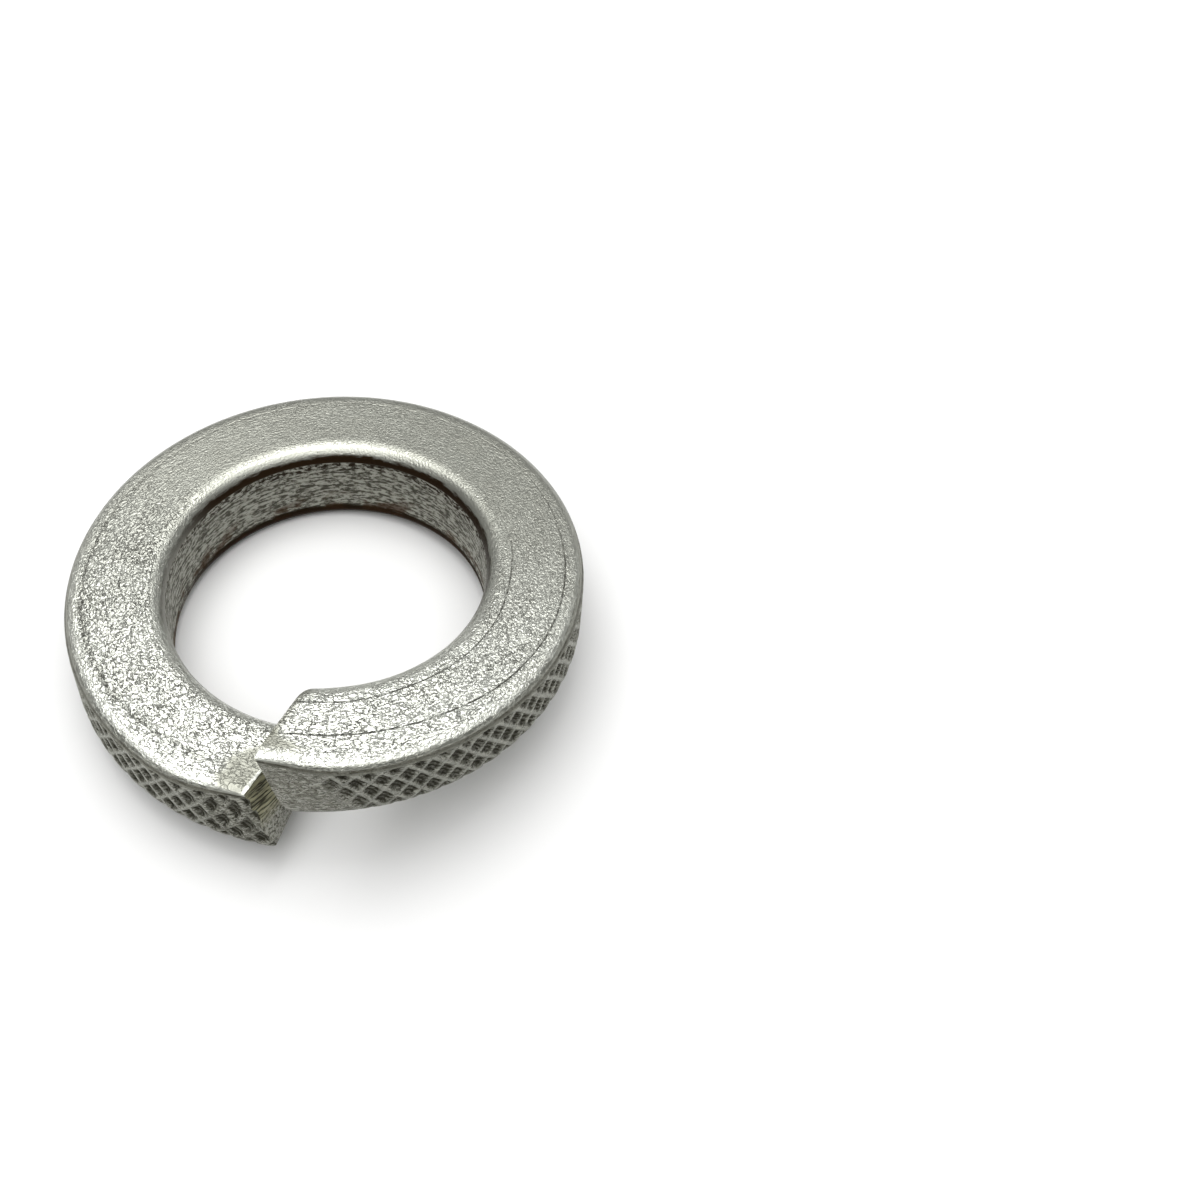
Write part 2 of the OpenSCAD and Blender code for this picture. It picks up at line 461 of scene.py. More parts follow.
def record_bar(half, end):
    """Keeps where each point lies on the straight bar, and which way it faces there, for the finish."""
    middle = section_measures().middle
    mesh = half.data
    turn, radius, height = straighten(mesh, end)
    along = np.radians(turn)
    bar = np.stack([along * middle, radius - middle, height], 1)
    write_attribute(mesh, "bar", "FLOAT_VECTOR", bar)
    write_attribute(mesh, "turn", "FLOAT", turn)
    normals = numbers(mesh.vertex_normals, "vector", 3)
    outward = np.stack([np.cos(along), -np.sin(along)], 1)
    onward = np.stack([-np.sin(along), -np.cos(along)], 1)
    side = np.stack([(normals[:, :2] * onward).sum(1), (normals[:, :2] * outward).sum(1), normals[:, 2]], 1)
    write_attribute(mesh, "side", "FLOAT_VECTOR", side)


def join_halves(low, high):
    make_active(low)
    high.select_set(True)
    bpy.ops.object.join()
    select_points(low.data, lambda co: co.x < 0 and abs(co.y) < CLOSE)
    bpy.ops.object.mode_set(mode="EDIT")
    bpy.ops.mesh.remove_doubles(threshold=MERGED)
    bpy.ops.mesh.select_all(action="SELECT")
    bpy.ops.mesh.normals_make_consistent(inside=False)
    bpy.ops.object.mode_set(mode="OBJECT")
    return low


def distance_past(points, end):
    """How far each point lies along the bar from its sheared face, into the metal."""
    point, normal = cut_planes(end)[0]
    along = (points - np.array(point)) @ np.array(normal)
    return along if end == "low" else -along


def distance_to_end(mesh, end):
    """The same for a swept half, and a long way wherever the end is out of reach."""
    turn = read_attribute(mesh, "turn", 1)
    near = turn < FULL_TURN - LAST_EIGHTH if end == "low" else turn > LAST_EIGHTH
    return np.where(near, distance_past(points_of(mesh), end), OUT_OF_REACH)


def lower_crown(points, bar):
    """The upper face falls away a little before its rounded corner at the rim."""
    beyond = np.clip((bar[:, 1] - CROWN_START) / CROWN_WIDTH, 0, 1) ** 2
    points[:, 2] -= settings()[0].crown * beyond * (bar[:, 2] > section_measures().wall_top)


def sharpen_corner(points, bar, to_end, outward):
    """The rim's upper corner loses radius towards the end, and the wall under it grows to meet it."""
    section, _, cuts, _ = settings()
    m = section_measures()
    corner = section.top_rim_radius
    lost = (corner - cuts.end_corner) * np.clip(1 - to_end / cuts.drawn_length, 0, 1) ** DRAWN_POWER
    out = bar[:, 1] - (section.width / 2 - corner)
    up = bar[:, 2] - m.wall_top
    in_corner = (out > -CORNER_SLACK) & (up > -CORNER_SLACK)
    arc = corner_angle(up, out)
    top_shift = math.tan(math.pi / 4 - m.slope / 2)
    points[:, :2] += (lost * in_corner * (1 - np.cos(arc)))[:, None] * outward
    points[:, 2] += lost * in_corner * (top_shift - np.sin(arc))
    on_wall = (bar[:, 1] > section.width / 2 - WALL_SLACK) & ~in_corner
    points[:, 2] += lost * on_wall * top_shift * np.clip(1 + up / STRETCHED_WALL, 0, 1)


def pull_corner(points, bar, to_end, outward):
    """The shears pulled the same corner in towards the bore."""
    section, _, cuts, _ = settings()
    raised = ease(PULL_AT_MIDDLE + bar[:, 2] / section.rim_thickness * PULL_GAIN)
    pulled = ease(1 - to_end / cuts.drawn_length) * raised
    pulled *= np.clip(bar[:, 1] / (section.width / 2), 0, 1) ** 2
    points[:, :2] -= (cuts.corner_pull * pulled)[:, None] * outward


def roll_edge(points, bar, to_end):
    """The shears rolled the upper end's top edge down."""
    section, _, cuts, _ = settings()
    upward = np.clip(bar[:, 2] / (section.bore_thickness / 2), 0, None) ** 2
    rolled = np.clip(1 - np.clip(to_end, 0, None) / cuts.roll_length, 0, 1) ** 2
    points[:, 2] -= cuts.roll_depth * rolled * upward


def work_end(half, end):
    """Shapes a half before it is cut: its crown, then what the shears did to the metal by the cut."""
    mesh = half.data
    points = points_of(mesh)
    bar = read_attribute(mesh, "bar", 3)
    turn = np.radians(read_attribute(mesh, "turn", 1))
    to_end = distance_to_end(mesh, end)
    write_attribute(mesh, "to_end", "FLOAT", np.clip(to_end, 0, None))
    outward = np.stack([np.cos(turn), -np.sin(turn)], 1)
    lower_crown(points, bar)
    sharpen_corner(points, bar, to_end, outward)
    pull_corner(points, bar, to_end, outward)
    if end == "high":
        roll_edge(points, bar, to_end)
    write_points(mesh, points)


def raise_burr(half):
    """The shears left a burr along the lower end's top edge."""
    section, _, cuts, _ = settings()
    mesh = half.data
    points = points_of(mesh)
    bar = read_attribute(mesh, "bar", 3)
    near = np.clip(1 - distance_past(points, "low") / BURR_WIDTH, 0, 1) ** 2
    near *= read_attribute(mesh, "turn", 1) < HALF_TURN / 2
    near *= bar[:, 2] > section.rim_thickness / 2 - BURR_WIDTH
    ragged = np.zeros(len(bar))
    for i in np.nonzero(near)[0]:
        ragged[i] = BURR_MEAN + noise.noise(Vector((bar[i, 1] / BURR_RIPPLE, 0, 0)))
    points[:, 2] += cuts.burr_height * near * np.clip(ragged, 0, 1)
    write_points(mesh, points)


def rim_distance(bar):
    """Distance down the rim's outline from the wall's upper edge, negative on the corner above it."""
    section = settings()[0]
    m = section_measures()
    out = bar[:, 1] + m.middle - m.rim
    down = m.wall_top - bar[:, 2]
    wall = m.wall_top - m.wall_foot
    foot = section.foot_rim_radius
    top = section.top_rim_radius
    below = wall + foot * corner_angle(down - wall, out + foot)
    above = -top * corner_angle(-down, out + top)
    return np.where(down > wall, below, np.where(down < 0, above, down))


def knurl_fades(mesh, end, bar, along, row):
    """Share of the knurl's depth at each point: 0 off the rim, and less towards its edges."""
    section, _, _, knurl = settings()
    m = section_measures()
    foot_length = section.foot_rim_radius * (math.pi / 2 - m.slope)
    wall = m.wall_top - m.wall_foot
    over_top = np.clip((row + TOP_PASS) / TOP_FADE, 0, 1)
    over_foot = np.clip((wall + FOOT_PASS * foot_length - along) / (FOOT_FADE * foot_length), 0, 1)
    fade = 1.0
    if end == "high":
        fade = np.clip((distance_to_end(mesh, end) - knurl.plain_length) / knurl.fade_length, 0, 1)
    out = bar[:, 1] > section.width / 2 - section.foot_rim_radius * FOOT_MARGIN
    low_enough = bar[:, 2] < m.wall_top + TOP_LIMIT * section.top_rim_radius
    return over_top * over_foot * fade * out * low_enough


def knurl_shares(mesh, end):
    """Depth of the knurl at each point, from 0 on the ridges to 1 in the middle of a pit."""
    knurl = settings()[3]
    bar = read_attribute(mesh, "bar", 3)
    along = rim_distance(bar)
    drift = np.array([noise.noise(Vector(b) / DRIFT_PATCH) for b in bar])
    column = read_attribute(mesh, "turn", 1) / (HALF_TURN / knurl.pits) + COLUMN_DRIFT * drift
    # The rows take the drift of the point before, so that they don't follow the columns exactly
    row = along / knurl.row_height + ROW_DRIFT * np.roll(drift, 1)

    def wave(x):
        """1 at even places and 0 at odd ones."""
        return 1 - np.abs((x + 1) % 2 - 1)

    pyramid = np.minimum(wave(column + row), wave(column - row))
    pit = ease((pyramid - RIDGE_SHARE) / PIT_WALL_SHARE)
    return pit * knurl_fades(mesh, end, bar, along, row)


def press_knurl(half, end):
    """Presses the pits of the knurl into the rim."""
    make_active(half)
    mesh = half.data
    share = knurl_shares(mesh, end)
    write_attribute(mesh, "pit", "FLOAT", share)
    group = half.vertex_groups.new(name="knurl")
    for index in np.nonzero(share > LEAST_PIT)[0]:
        group.add([int(index)], float(share[index]), "REPLACE")
    press = half.modifiers.new("Knurl", "DISPLACE")
    press.direction = "NORMAL"
    press.vertex_group = group.name
    press.mid_level = 0
    press.strength = -settings()[3].depth
    bpy.ops.object.modifier_apply(modifier=press.name)
    half.vertex_groups.clear()


def lay_down(washer):
    """Turns the finished coil to its split and lays it down as it rests."""
    coil = settings()[1]
    lean = Vector((0, 0, 1)).rotation_difference(COIL_AXIS).to_matrix().to_4x4()
    spin = Matrix.Rotation(coil.split_direction, 4, "Z")
    centre = Matrix.Translation((0, 0, -coil.rise / 2))
    washer.matrix_world = Matrix.Translation(COIL_MIDDLE) @ lean @ spin @ centre
    make_active(washer)
    bpy.ops.object.transform_apply(location=True, rotation=True, scale=True)


class WASHER_OT_coil(bpy.types.Operator):
    """Sweep the section through the two halves of one left-hand turn"""

    bl_idname = "washer.coil"
    bl_label = "Coil the Bar"

    def execute(self, context):
        deselect_all()
        for end in ("low", "high"):
            record_bar(sweep_half(end), end)
        return {"FINISHED"}


class WASHER_OT_knurl(bpy.types.Operator):
    """Press the diamond knurl into the rim"""

    bl_idname = "washer.knurl"
    bl_label = "Knurl the Rim"

    def execute(self, context):
        for end in ("low", "high"):
            press_knurl(bpy.data.objects[end + "_half"], end)
        return {"FINISHED"}


class WASHER_OT_shear(bpy.types.Operator):
    """Shear both ends, close the turn and lay the washer down"""

    bl_idname = "washer.shear"
    bl_label = "Shear the Ends"

    def execute(self, context):
        low, high = bpy.data.objects["low_half"], bpy.data.objects["high_half"]
        for end, half in (("low", low), ("high", high)):
            work_end(half, end)
            cut_half(half, end)
        raise_burr(low)
        washer = join_halves(low, high)
        washer.name = "spring_washer"
        lay_down(washer)
        bpy.ops.object.shade_smooth_by_angle(angle=SMOOTH_ANGLE)
        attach(washer, "root")
        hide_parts("lock_washer")
        return {"FINISHED"}


class Nodes:
    """Short calls that add nodes to one material or world and join them up."""

    def __init__(self, tree):
        self.tree = tree
        tree.nodes.clear()

    def put(self, socket, value):
        if isinstance(value, bpy.types.NodeSocket):
            self.tree.links.new(value, socket)
        else:
            socket.default_value = value

    def add(self, kind, inputs=None, **values):
        node = self.tree.nodes.new(kind)
        for name, value in values.items():
            setattr(node, name, value)
        for key, value in (inputs or {}).items():
            self.put(node.inputs[key], value)
        return node

    def math(self, operation, a, b=0.0, clamp=False):
        return self.add("ShaderNodeMath", {0: a, 1: b}, operation=operation, use_clamp=clamp).outputs[0]

    def times(self, *factors):
        product = factors[0]
        for factor in factors[1:]:
            product = self.math("MULTIPLY", product, factor)
        return product

    def plus(self, *terms):
        total = terms[0]
        for term in terms[1:]:
            total = self.math("ADD", total, term)
        return total

    def less(self, a, b, clamp=False):
        return self.math("SUBTRACT", a, b, clamp)

    def gap(self, a, b):
        return self.math("ABSOLUTE", self.less(a, b))

    def most(self, a, b):
        return self.math("MAXIMUM", a, b)

    def centred(self, noise_value, size):
        """A noise that swings about 0 instead of a half, scaled."""
        return self.times(self.less(noise_value, 0.5), size)

    def ramp(self, value, low, high, to_low=0.0, to_high=1.0):
        """Goes smoothly from to_low, where value is low, to to_high, where it is high."""
        inputs = {"Value": value, "From Min": low, "From Max": high, "To Min": to_low, "To Max": to_high}
        return self.add("ShaderNodeMapRange", inputs, interpolation_type="SMOOTHSTEP").outputs[0]

    def stretch(self, vector, along, across, up):
        inputs = {0: vector, 1: (along, across, up)}
        return self.add("ShaderNodeVectorMath", inputs, operation="MULTIPLY").outputs[0]

    def noise(self, vector, scale, detail=2.0, roughness=0.5, distortion=0.0):
        inputs = {"Vector": vector, "Scale": scale, "Detail": detail, "Roughness": roughness}
        inputs["Distortion"] = distortion
        return self.add("ShaderNodeTexNoise", inputs).outputs["Fac"]

    def vein(self, value, width):
        """1 along the lines where a noise passes its middle value, 0 a width away from them."""
        return self.ramp(self.gap(value, 0.5), 0.0, width, 1.0, 0.0)

    def blend(self, share, a, b):
        node = self.add("ShaderNodeMix", data_type="RGBA")
        self.put(node.inputs[0], share)
        self.put(node.inputs[6], a)
        self.put(node.inputs[7], b)
        return node.outputs[2]


def colour(values):
    return (*values, 1.0)


def new_material(name):
    material = bpy.data.materials.new(name)
    material.use_nodes = True
    return material, Nodes(material.node_tree)


def bare_metal(nodes, tint, rough, height, depth):
    """Ends a material as bare metal, whose relief is its height times a depth."""
    bump = nodes.add("ShaderNodeBump", {"Height": height, "Strength": 1.0, "Distance": depth})
    surface = nodes.add(
        "ShaderNodeBsdfPrincipled",
        {"Base Color": tint, "Metallic": 1.0, "Roughness": rough, "Normal": bump.outputs[0]},
    )
    nodes.add("ShaderNodeOutputMaterial", {"Surface": surface.outputs[0]})


def bar_fields(nodes):
    """What the coil, knurl and shear steps kept: places in millimetres, facings and pit depths.

    along starts at the middle of the split, and across and up at the middle of the section. out,
    inward and skyward say how far the surface faces the rim, the bore and the top, up to 1.
    """

    def attribute(name):
        return nodes.add("ShaderNodeAttribute", attribute_name=name)

    mm = nodes.stretch(attribute("bar").outputs["Vector"], 1000, 1000, 1000)
    place = nodes.add("ShaderNodeSeparateXYZ", {0: mm})
    side = nodes.add("ShaderNodeSeparateXYZ", {0: attribute("side").outputs["Vector"]})
    return SimpleNamespace(
        mm=mm,
        along=place.outputs["X"],
        across=place.outputs["Y"],
        up=place.outputs["Z"],
        out=side.outputs["Y"],
        inward=nodes.times(side.outputs["Y"], -1.0),
        skyward=side.outputs["Z"],
        pit=attribute("pit").outputs["Fac"],
        to_end=nodes.times(attribute("to_end").outputs["Fac"], 1000.0),
    )


class WornSteel:
    """The bar's skin: pitted on top, smooth on rounded edges, dull in the bore, grime and painted shade in
    the knurl.

    Most patterns are shares from 0 to 1. Lengths are in millimetres.
    """

    def __init__(self, nodes):
        self.nodes = nodes
        self.bar = bar_fields(nodes)
        self.place_finishes()
        self.draw_noises()
        self.smooth_skin()
        self.roll_grooves()
        self.mark_bore_lines_and_shadow()
        self.mark_knurl()

    def by_side(self, low, far, high, leaving, returning):
        """A value that changes from the lower end to the far side, and again to the upper end."""
        nodes, along = self.nodes, self.bar.along
        rise = nodes.ramp(along, *returning, 0.0, high - far)
        return nodes.plus(nodes.ramp(along, *leaving, low, far), rise)

    def grain(self, stretch, scale, **shape):
        """A noise on the straight bar; a stretch under 1 draws it out that way."""
        return self.nodes.noise(self.nodes.stretch(self.bar.mm, *stretch), scale, **shape)

    def place_finishes(self):
        """Where each finish lies."""
        nodes, bar = self.nodes, self.bar
        self.flat = nodes.ramp(nodes.math("ABSOLUTE", bar.skyward), 0.90, 0.985)
        self.bore = nodes.ramp(bar.inward, 0.955, 0.985)
        wall = nodes.ramp(bar.out, 0.74, 0.90)
        under_rim = nodes.times(nodes.ramp(bar.out, 0.1, 0.3), nodes.ramp(bar.skyward, -0.2, -0.4))
        self.knurled = nodes.most(wall, under_rim)
        self.high_half = nodes.ramp(bar.along, 60.0, 61.0)
        self.low_half = nodes.less(1.0, self.high_half)
        # The far side is worn smoother than the two ends
        self.wear = self.by_side(1.0, 0.38, 1.0, leaving=(24.0, 38.0), returning=(60.0, 84.0))

    def draw_noises(self):
        """The noises that the patterns share, most of them drawn out along the bar."""
        nodes = self.nodes
        self.broad = self.grain((0.6, 1, 1), 0.55, detail=3, roughness=0.6)
        self.pitting = self.grain((0.65, 1, 1), 3.0, detail=2.5, roughness=0.6, distortion=0.4)
        self.fine = self.grain((0.8, 1, 1), 6.0, detail=2, roughness=0.6)
        self.strokes = self.grain((0.45, 3.2, 3.2), 1.7, detail=2, roughness=0.55)
        self.veins = nodes.vein(self.pitting, 0.045)
        self.slow = nodes.less(nodes.noise(self.bar.mm, 0.07, detail=2), 0.5)
        self.streaks = self.grain((0.22, 1, 1.6), 2.6, detail=4, roughness=0.65)
        self.torn = self.grain((0.4, 1, 1.2), 3.2, detail=4, roughness=0.7)
        self.scrape = self.grain((0.55, 1, 1.8), 3.2, detail=3, roughness=0.6, distortion=1.2)
        self.scratches = nodes.vein(self.grain((0.55, 1, 1.5), 3.6, detail=1, distortion=1.5), 0.08)

    def smooth_skin(self):
        """Where the skin is open to pitting, where the shears and rolls smoothed it, and the painted shade
        on the smoothed ends.
        """
        nodes, bar = self.nodes, self.bar
        # The shears burnished the last stretch before each cut, more so towards the rim
        reach = nodes.plus(
            nodes.times(self.high_half, nodes.ramp(bar.across, -0.4, 2.6, -0.3, 3.2)),
            nodes.times(self.low_half, nodes.ramp(bar.across, -2.6, 0.4, 0.0, 3.0)),
            nodes.centred(self.broad, 3.0),
            nodes.times(self.pitting, 0.8),
        )
        smooth_end = nodes.ramp(nodes.less(bar.to_end, reach), -1.2, 0.2, 1.0, 0.0)
        smooth_end = nodes.times(smooth_end, nodes.ramp(bar.skyward, 0.5, 0.8))
        # Painted shade: the smoothed end is darkened with the dull skin's colour, less towards the rim,
        # where it is left bright
        shade_edge = nodes.less(bar.across, nodes.times(self.low_half, 0.8))
        self.burnished_and_shaded = nodes.times(smooth_end, nodes.ramp(shade_edge, 1.9, 2.9, 0.8, 0.1))
        # Outside the groove the rolls left a smooth band up to the rounded edge
        band = nodes.ramp(nodes.plus(bar.across, nodes.centred(self.pitting, 1.3)), 2.3, 2.9)
        smoothed = nodes.most(nodes.times(smooth_end, 0.85), nodes.times(band, 0.6))
        self.open_skin = nodes.less(self.flat, nodes.times(self.flat, smoothed), clamp=True)

    def roll_grooves(self):
        """The groove that the rolls left near the rim, and a finer one near the bore."""
        nodes, bar = self.nodes, self.bar
        ragged = nodes.centred(self.pitting, nodes.ramp(bar.along, 20.0, 50.0, 1.1, 0.12))
        ragged = nodes.plus(nodes.times(self.slow, 0.9), ragged)
        line = nodes.plus(self.by_side(1.55, 2.3, 1.0, leaving=(4.0, 22.0), returning=(76.0, 98.0)), ragged)
        width = nodes.ramp(bar.along, 20.0, 55.0, 0.27, 0.075)
        past_line = nodes.math("DIVIDE", nodes.gap(bar.across, line), width)
        broken = nodes.ramp(self.grain((1, 0.5, 0.5), 1.8, detail=3), 0.36, 0.62, 0.35, 1.0)
        strength = self.by_side(0.6, 0.2, 1.0, leaving=(24.0, 34.0), returning=(62.0, 74.0))
        outer = nodes.times(nodes.ramp(past_line, 0.2, 1.0, 1.0, 0.0), broken, self.open_skin, strength)
        past_inner = nodes.gap(bar.across, nodes.plus(self.slow, -1.65))
        inner = nodes.times(
            nodes.ramp(past_inner, 0.02, 0.065, 0.95, 0.0), nodes.ramp(bar.along, 68.0, 76.0),
            broken, self.open_skin
        )
        self.grooves = nodes.most(outer, inner)

    def mark_bore_lines_and_shadow(self):
        """A dark line at the bore's upper edge, a painted shadow at its foot, and light rust low on its
        wall.
        """
        nodes, bar = self.nodes, self.bar
        far_side = nodes.ramp(self.wear, 0.45, 1.0, 1.0, 0.45)
        edge = nodes.plus(bar.inward, nodes.centred(self.streaks, 0.3), nodes.centred(self.broad, 0.2))
        off_wall = nodes.ramp(self.bore, 0.2, 1.0, 1.0, 0.0)
        line = nodes.times(nodes.ramp(edge, 0.73, 0.85), off_wall, nodes.ramp(bar.skyward, 0.02, 0.10))
        below_line = nodes.ramp(nodes.plus(bar.up, nodes.times(self.streaks, 1.6)), 2.3, 3.0)
        below_line = nodes.times(self.bore, below_line, nodes.ramp(self.torn, 0.44, 0.58))
        # Painted shadow: a near-black line along the bore's foot, strongest on the far side
        foot_shadow_edge = nodes.plus(bar.up, nodes.centred(self.streaks, 1.2))
        foot = nodes.times(nodes.ramp(bar.inward, 0.0, 0.2), nodes.ramp(foot_shadow_edge, -2.3, -2.65), far_side)
        upper = nodes.times(nodes.most(line, nodes.times(below_line, 0.85)), far_side)
        self.bore_lines_and_shadow = nodes.most(upper, foot)
        rusty = nodes.ramp(self.grain((0.4, 1, 1), 1.0, detail=4), 0.48, 0.60)
        rusty = nodes.times(self.bore, nodes.times(nodes.ramp(bar.up, -0.4, -2.2), rusty))
        # A quarter of the dark lines, with the painted shadow at the foot, is tinted rust brown as well
        self.rust = nodes.times(nodes.most(rusty, nodes.times(self.bore_lines_and_shadow, 0.25)), 0.75)

    def mark_knurl(self):
        """Slanting strokes on the rim, and the dark hollows of the pits, darkened as grime and painted
        shade.
        """
        nodes, bar = self.nodes, self.bar
        slant = nodes.plus(bar.along, nodes.times(bar.up, -1.1))
        self.lines = nodes.math("SINE", nodes.plus(nodes.times(slant, 13.0), nodes.times(self.torn, 8.0)))
        hollow = nodes.ramp(nodes.plus(bar.pit, nodes.centred(self.torn, 1.2)), 0.2, 0.6)
        self.hollows = nodes.times(hollow, nodes.ramp(self.lines, -0.3, 0.4, 0.35, 1.0))

    def upper_face_coats(self, coat):
        """Pairs of a share and the colour that covers it, from the first coat to the last."""
        nodes, bar = self.nodes, self.bar
        # The upper face is darker on the far side
        yield self.by_side(0.0, 0.62, 0.0, leaving=(6.0, 38.0), returning=(64.0, 91.0)), coat.scale
        yield nodes.times(nodes.ramp(self.broad, 0.40, 0.66), 0.2), coat.rim
        specks = nodes.most(nodes.times(self.veins, 0.9), nodes.ramp(self.fine, 0.58, 0.76))
        specks = nodes.times(specks, self.open_skin, self.wear)
        yield nodes.times(specks, nodes.ramp(self.broad, 0.42, 0.60, 0.15, 0.8)), coat.grime_and_shade
        yield nodes.times(self.grooves, 0.9), coat.grime_and_shade
        # Painted shade on the smoothed ends
        yield self.burnished_and_shaded, coat.scale
        # The upper end's rolled edge is darkened as painted shade, and the lower end's burr is bright
        rolled = nodes.ramp(bar.to_end, 0.1, 0.9, 1.0, 0.0)
        rolled = nodes.times(self.high_half, rolled, nodes.ramp(bar.across, 0.4, 2.4, 1.0, 0.0))
        yield nodes.times(rolled, 0.75), coat.scale
        yield nodes.times(self.low_half, nodes.ramp(bar.to_end, 0.12, 0.3, 1.0, 0.0)), coat.steel

    def wall_coats(self, coat):
        """The same for the bore's wall and the knurled rim."""
        nodes, bar = self.nodes, self.bar
        grain = nodes.plus(nodes.times(self.torn, 0.6), nodes.times(self.streaks, 0.4))
        dull = nodes.blend(nodes.ramp(grain, 0.45, 0.55), coat.rim, coat.grime_and_shade)
        yield nodes.times(self.bore, 0.92), dull
        skin = nodes.blend(nodes.ramp(self.scrape, 0.44, 0.56), coat.rim, coat.scale)
        skin = nodes.blend(self.scratches, skin, coat.grime_and_shade)
        # The knurl's ridges are painted brighter with steel, as rubbed metal and as a painted highlight, but
        # not near the ends
        rubbed_and_highlit = nodes.times(nodes.ramp(bar.pit, 0.0, 0.15, 0.35, 0.0), nodes.ramp(self.scrape, 0.40, 0.58))
        rubbed_and_highlit = nodes.times(rubbed_and_highlit, nodes.ramp(bar.to_end, 3.0, 6.0))
        yield nodes.times(self.knurled, 0.95), nodes.blend(rubbed_and_highlit, skin, coat.steel)

    def edge_coats(self, coat):
        """The same for the rim's rounded edge, a grey band and a painted dark reflection, and for grime and
        painted shade in the pits, the bore's lines and painted shadow, and rust.
        """
        nodes, bar = self.nodes, self.bar
        band = nodes.ramp(nodes.plus(bar.out, nodes.centred(self.torn, 0.5)), 0.50, 0.62)
        yield nodes.times(band, nodes.ramp(bar.skyward, 0.05, 0.2), 0.65), coat.scale
        # Painted reflection: a dark line on the lower part of the rim's rounded edge, where it would reflect
        # the dark room
        dark_reflection_line = nodes.times(nodes.ramp(bar.out, 0.76, 0.84), nodes.ramp(bar.out, 0.90, 0.97, 1.0, 0.0))
        dark_reflection_line = nodes.times(dark_reflection_line, nodes.ramp(bar.skyward, 0.1, 0.2))
        yield nodes.times(dark_reflection_line, nodes.ramp(self.torn, 0.30, 0.55, 1.0, 0.45)), coat.grime_and_shade
        # Grime and painted shade in the knurl's pits
        yield nodes.times(self.hollows, self.knurled, 0.9), coat.grime_and_shade
        # Dark lines at the bore, the one at its foot a painted shadow
        yield self.bore_lines_and_shadow, coat.bore_lines_and_shadow
        yield self.rust, coat.rust

    def tint(self):
        finish = bpy.context.scene.washer_finish
        names = ("steel", "rim", "scale", "grime_and_shade", "bore_lines_and_shadow", "rust")
        coat = SimpleNamespace(**{name: colour(getattr(finish, name)) for name in names})
        tint = coat.steel
        for coats in (self.upper_face_coats, self.wall_coats, self.edge_coats):
            for share, cover in coats(coat):
                tint = self.nodes.blend(share, tint, cover)
        return tint

    def roughness(self):
        nodes = self.nodes
        rough = nodes.plus(
            0.24,
            nodes.times(self.fine, 0.10),
            nodes.times(self.bore, 0.30),
            nodes.times(self.knurled, 0.18),
            nodes.times(self.bar.pit, self.knurled, 0.15),
            nodes.times(self.burnished_and_shaded, 0.15),
            nodes.times(self.bore_lines_and_shadow, 0.25),
        )
        return nodes.math("ADD", rough, nodes.times(self.rust, 0.2), clamp=True)

    def height(self):
        """Relief in tenths of a millimetre, each part of it swinging about 0."""
        nodes = self.nodes
        pits = nodes.plus(self.pitting, nodes.times(self.veins, -0.6), -0.35)
        scuffs = (nodes.times(self.fine, 0.5), nodes.times(self.strokes, 0.5), -0.5)
        relief = nodes.plus(nodes.times(pits, self.wear), *scuffs)
        torn_wall = nodes.plus(self.torn, nodes.times(self.streaks, 0.9), -0.95)
        scraped = nodes.plus(nodes.times(self.scrape, 3.0), nodes.times(self.scratches, -1.6), -1.2)
        return nodes.plus(
            nodes.times(relief, nodes.ramp(self.open_skin, 0.0, 1.0, 0.28, 0.95), self.wear),
            nodes.times(self.grooves, -1.0),
            nodes.centred(self.fine, 0.35),
            nodes.times(torn_wall, self.bore),
            nodes.times(scraped, self.knurled),
            nodes.times(self.lines, self.bar.pit, self.knurled, 0.6),
        )


def worn_steel():
    material, nodes = new_material("worn_spring_steel")
    skin = WornSteel(nodes)
    bare_metal(nodes, skin.tint(), skin.roughness(), skin.height(), 0.1 * MM)
    return material


def sheared_steel():
    """Cut ends: olive-brown, drawn into lines under the top edge and torn rough below."""
    finish = bpy.context.scene.washer_finish
    material, nodes = new_material("sheared_spring_steel")
    bar = bar_fields(nodes)
    lines = nodes.noise(nodes.stretch(bar.mm, 0.05, 0.05, 1), 8.0, detail=2, roughness=0.6)
    torn = nodes.noise(bar.mm, 4.0, detail=4, roughness=0.7)
    upper = nodes.ramp(nodes.plus(bar.up, nodes.times(torn, 1.6)), 0.6, 2.2)
    grain = nodes.plus(nodes.times(lines, upper), nodes.times(torn, nodes.less(1.0, upper)))
    metal = nodes.blend(upper, colour(finish.rim), colour(finish.sheared))
    tint = nodes.blend(nodes.ramp(grain, 0.40, 0.64), metal, colour(finish.grime_and_shade))
    bare_metal(nodes, tint, 0.5, grain, 0.09 * MM)
    return material


class WASHER_OT_finish(bpy.types.Operator):
    """Give the steel its worn, dull and grimy finishes, with painted shade and highlights"""

    bl_idname = "washer.finish"
    bl_label = "Finish the Steel"

    def execute(self, context):
        mesh = bpy.data.objects["spring_washer"].data
        mesh.materials.clear()
        for material in (worn_steel(), sheared_steel()):
            mesh.materials.append(material)
        sheared = mesh.attributes["sheared"].data
        for face in mesh.polygons:
            face.material_index = round(sheared[face.index].value)
        return {"FINISHED"}


def white_floor():
    """White paper, a little paler for the camera than for the light that it throws back."""
    material, nodes = new_material("white_floor")
    path = nodes.add("ShaderNodeLightPath")
    white = nodes.blend(path.outputs["Is Camera Ray"], colour(FLOOR_LIT), colour(FLOOR_SEEN))
    paper = nodes.add("ShaderNodeBsdfDiffuse", {"Color": white})
    nodes.add("ShaderNodeOutputMaterial", {"Surface": paper.outputs[0]})
    return material


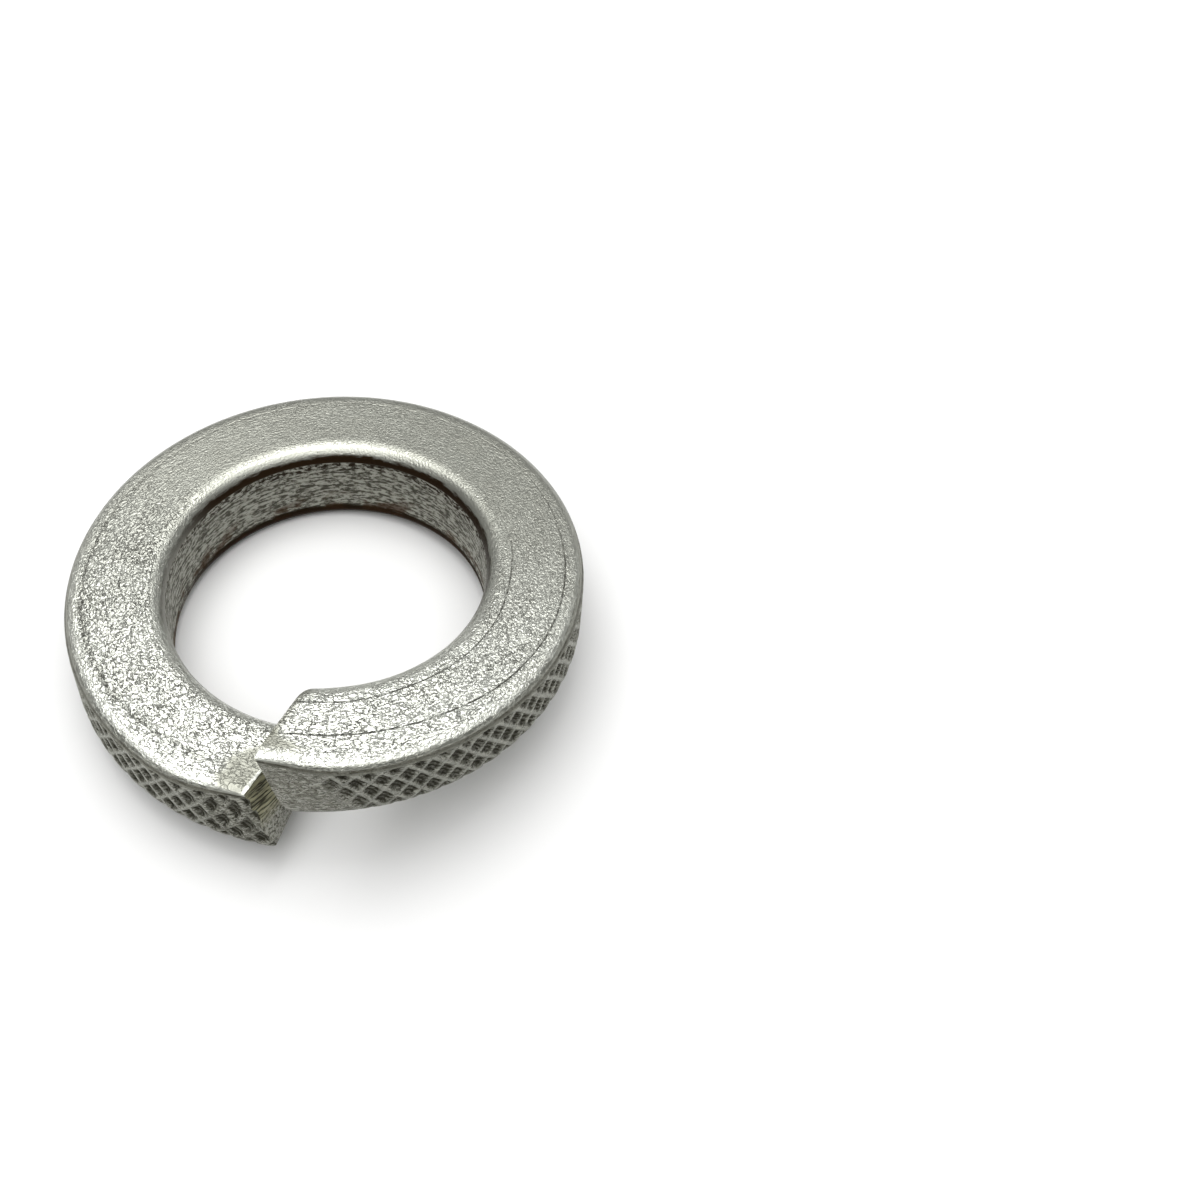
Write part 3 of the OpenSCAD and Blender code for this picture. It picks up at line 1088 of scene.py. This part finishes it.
def room_world(strength):
    """A white ceiling, grey walls and a dark side behind the camera, with a white backdrop for the eye.

    swing is 0 at the horizon behind the camera, 0.5 overhead and 1 at the far horizon.
    """
    world = bpy.data.worlds.new("studio_room")
    bpy.context.scene.world = world
    world.use_nodes = True
    nodes = Nodes(world.node_tree)
    direction = nodes.add("ShaderNodeTexCoord").outputs["Generated"]
    axes = nodes.add("ShaderNodeSeparateXYZ", {0: direction})
    front = nodes.times(axes.outputs["Y"], -1.0)
    swing = nodes.math("DIVIDE", nodes.math("ARCTAN2", axes.outputs["Z"], front), math.pi)
    aside = nodes.math("ABSOLUTE", nodes.plus(axes.outputs["X"], 0.05))
    ceiling = nodes.times(nodes.ramp(swing, 0.25, 0.32), nodes.ramp(swing, 0.72, 0.775, 1.0, 0.0))
    ceiling = nodes.times(ceiling, nodes.ramp(aside, 0.40, 0.64, 1.0, 0.0))
    walls = nodes.most(nodes.ramp(swing, 0.0, 0.34, 0.05, 0.30), nodes.ramp(aside, 0.4, 0.9, 0.0, 0.24))
    walls = nodes.plus(walls, nodes.ramp(swing, 0.70, 0.78, 0.0, 0.06))
    level = nodes.plus(nodes.times(walls, strength), nodes.times(ceiling, CEILING_LIGHT, strength))
    path = nodes.add("ShaderNodeLightPath")
    seen = nodes.blend(path.outputs["Is Camera Ray"], level, colour((1, 1, 1)))
    glow = nodes.add("ShaderNodeBackground", {"Color": seen, "Strength": 1.0})
    nodes.add("ShaderNodeOutputWorld", {"Surface": glow.outputs[0]})


def add_floor():
    bpy.ops.mesh.primitive_plane_add(size=FLOOR_SIZE, location=(0, 0, 0))
    floor = bpy.context.object
    floor.name = "studio_floor"
    floor.data.materials.append(white_floor())


def add_softbox(power):
    bpy.ops.object.light_add(type="AREA", location=SOFTBOX_PLACE)
    softbox = bpy.context.object
    softbox.name = "softbox"
    softbox.data.shape = "SQUARE"
    softbox.data.size = SOFTBOX_SIZE
    softbox.data.energy = power
    softbox.rotation_euler = SOFTBOX_TURN


def add_camera(studio):
    bpy.ops.object.camera_add(location=studio.camera_place)
    camera = bpy.context.object
    camera.name = "photo_camera"
    camera.rotation_mode = "ZYX"
    camera.rotation_euler = (math.pi / 2 - studio.camera_tilt, 0, studio.camera_roll)
    camera.data.lens = studio.lens
    camera.data.sensor_width = 36
    camera.data.sensor_fit = "HORIZONTAL"
    camera.data.clip_start = NEAREST_SEEN
    camera.data.clip_end = FARTHEST_SEEN
    bpy.context.scene.camera = camera


class WASHER_OT_stage(bpy.types.Operator):
    """Lay the white floor, hang the softbox and aim the camera"""

    bl_idname = "washer.stage"
    bl_label = "Set the Stage"

    def execute(self, context):
        studio = context.scene.washer_studio
        deselect_all()
        add_floor()
        room_world(studio.room_light)
        add_softbox(studio.top_light)
        add_camera(studio)
        context.scene.view_settings.view_transform = "Standard"
        return {"FINISHED"}


class WASHER_PT_panel(bpy.types.Panel):
    """Lists the steps in the order they are done"""

    bl_idname = "WASHER_PT_panel"
    bl_label = "Lock Washer"
    bl_space_type = "VIEW_3D"
    bl_region_type = "UI"
    bl_category = "Lock Washer"

    def draw(self, context):
        for step in STEPS:
            self.layout.operator(step.bl_idname)


STEPS = (WASHER_OT_coil, WASHER_OT_knurl, WASHER_OT_shear, WASHER_OT_finish, WASHER_OT_stage)
GROUPS = {
    "washer_section": WasherSection,
    "washer_coil": WasherCoil,
    "washer_cuts": WasherCuts,
    "washer_knurl": WasherKnurl,
    "washer_finish": WasherFinish,
    "washer_studio": WasherStudio,
}


def register():
    for cls in (*GROUPS.values(), *STEPS, WASHER_PT_panel):
        bpy.utils.register_class(cls)
    for name, cls in GROUPS.items():
        setattr(bpy.types.Scene, name, PointerProperty(type=cls))


def unregister():
    for name in GROUPS:
        delattr(bpy.types.Scene, name)
    for cls in (WASHER_PT_panel, *reversed(STEPS), *reversed(GROUPS.values())):
        bpy.utils.unregister_class(cls)


def main():
    register()
    bpy.ops.washer.coil()
    bpy.ops.washer.knurl()
    bpy.ops.washer.shear()
    bpy.ops.washer.finish()
    bpy.ops.washer.stage()


if __name__ == "__main__":
    main()
